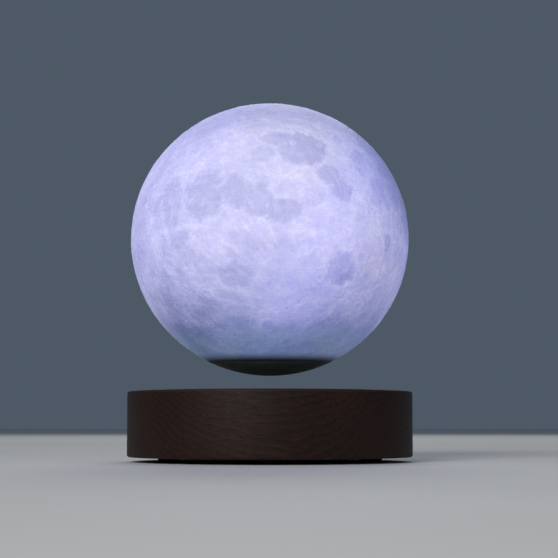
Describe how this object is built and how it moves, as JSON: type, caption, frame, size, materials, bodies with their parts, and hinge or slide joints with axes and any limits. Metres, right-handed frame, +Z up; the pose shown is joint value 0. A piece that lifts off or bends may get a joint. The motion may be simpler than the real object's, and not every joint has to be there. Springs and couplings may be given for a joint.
{
  "type": "levitating lamp",
  "caption": "Glowing moon globe that floats above a round dark wooden base, held up by magnets and lit through the air.",
  "frame": {"origin": "centre of the base on the surface that it stands on, under the globe's axis", "axes": "+Z up along the axis of base and globe; +Y to the rear, where the inlet and the button are"},
  "size_m": [0.147, 0.147, 0.1862],
  "materials": {
    "walnut": "satin",
    "black_abs": "matte",
    "rubber": "matte",
    "zinc_steel": "satin",
    "circuit_board": "satin",
    "ferrite": "matte",
    "nickel_plate": "polished",
    "copper_wire": "satin",
    "white_nylon": "satin",
    "chip_epoxy": "satin",
    "capacitor_sleeve": "gloss",
    "red_pvc": "satin",
    "black_pvc": "satin",
    "satin_aluminium": "satin",
    "moon_pla": "matte",
    "cap_abs": "matte",
    "frosted_plastic": "matte",
    "led_phosphor": "gloss"
  },
  "bodies": {
    "base": {"base_shell": "walnut", "bottom_cover": "black_abs", "rubber_foot_1": "rubber", "rubber_foot_2": "rubber", "rubber_foot_3": "rubber", "rubber_foot_4": "rubber", "cover_screw_1": "zinc_steel", "cover_screw_2": "zinc_steel", "cover_screw_3": "zinc_steel", "cover_screw_4": "zinc_steel", "driver_board": "circuit_board", "board_screw_1": "zinc_steel", "board_screw_2": "zinc_steel", "board_screw_3": "zinc_steel", "board_screw_4": "zinc_steel", "driver_capacitor_1": "capacitor_sleeve", "driver_capacitor_2": "capacitor_sleeve", "driver_chip": "chip_epoxy", "bias_magnet": "ferrite", "coil_spool_1": "white_nylon", "coil_spool_2": "white_nylon", "coil_spool_3": "white_nylon", "coil_spool_4": "white_nylon", "coil_winding_1": "copper_wire", "coil_winding_2": "copper_wire", "coil_winding_3": "copper_wire", "coil_winding_4": "copper_wire", "hall_sensor_block": "chip_epoxy", "power_ferrite": "ferrite", "power_coil": "copper_wire", "dc_jack": "black_abs", "dc_jack_pin": "nickel_plate", "dc_jack_nut": "nickel_plate", "jack_lead_plus": "red_pvc", "jack_lead_minus": "black_pvc", "button_bezel": "satin_aluminium", "switch_body": "chip_epoxy"},
    "light_button": {"light_button": "satin_aluminium", "switch_plunger": "black_abs"},
    "float_magnet": {"lift_magnet": "nickel_plate", "keeper_plate": "zinc_steel"},
    "globe": {"moon_shell": "moon_pla", "bottom_cap": "cap_abs", "carrier_lid": "black_abs", "lid_screw_1": "zinc_steel", "lid_screw_2": "zinc_steel", "lid_screw_3": "zinc_steel", "receiver_coil": "copper_wire", "receiver_ferrite": "ferrite", "led_board": "satin_aluminium", "led_board_screw_1": "zinc_steel", "led_board_screw_2": "zinc_steel", "led_1": "led_phosphor", "led_2": "led_phosphor", "led_3": "led_phosphor", "led_4": "led_phosphor", "light_diffuser": "frosted_plastic", "smoothing_capacitor": "capacitor_sleeve"}
  },
  "joints": [
    {"name": "globe_lift", "type": "slide", "parent": "base", "child": "float_magnet", "axis": [0, 0, 1], "range_m": [-0.0079, 0.12], "stiffness_N_per_m": 60, "springref_m": 0.05054},
    {"name": "globe_spin", "type": "hinge", "parent": "float_magnet", "child": "globe", "pos_m": [0, 0, 0.1152], "axis": [0, 0, 1], "continuous": true},
    {"name": "button_press", "type": "slide", "parent": "base", "child": "light_button", "axis": [-0.4067, -0.9135, 0], "range_m": [0, 0.0006], "stiffness_N_per_m": 400, "springref_m": -0.002}
  ]
}
